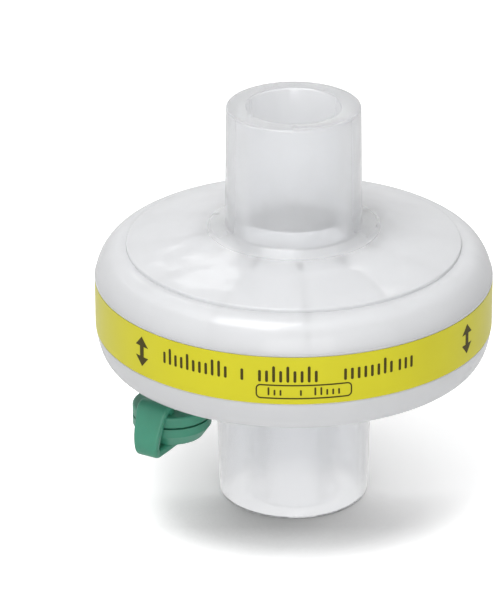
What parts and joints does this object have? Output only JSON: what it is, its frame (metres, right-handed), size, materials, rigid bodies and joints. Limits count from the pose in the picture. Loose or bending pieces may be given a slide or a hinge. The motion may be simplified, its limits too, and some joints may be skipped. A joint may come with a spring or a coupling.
{
  "type": "breathing circuit filter",
  "caption": "Round translucent breathing circuit filter with coaxial conical ports, a clamped disc of filter medium, a label band and a luer sampling port with a retained cap.",
  "frame": {"origin": "centre of the bottom port's rim, on the plane that the filter stands on", "axes": "+Z along the gas path, from the bottom port to the top port; -Y towards the front of the label; the sampling port is on the -X side"},
  "size_m": [0.0652, 0.0652, 0.0684],
  "materials": {
    "clear_housing": "translucent moulded polypropylene, softly glossy",
    "filter_felt": "white non-woven felt, matt",
    "label_film": "yellow printed film, satin",
    "cap_elastomer": "green moulded elastomer, softly satin"
  },
  "bodies": {
    "housing": {"upper_housing": "clear_housing", "lower_housing": "clear_housing", "filter_media": "filter_felt", "label_band": "label_film"},
    "retaining_ring": {"cap_ring": "cap_elastomer", "cap_strap": "cap_elastomer"},
    "cap": {"port_cap": "cap_elastomer"}
  },
  "joints": [
    {"name": "cap_ring_turn", "type": "hinge", "parent": "housing", "child": "retaining_ring", "pos_m": [-0.01999, -0.007, 0.018], "axis": [0, 0, 1], "range_deg": [-170, 90]},
    {"name": "cap_pull", "type": "slide", "parent": "retaining_ring", "child": "cap", "axis": [0, 0, -1], "range_m": [0, 0.008], "deforming": ["cap_strap"]}
  ]
}
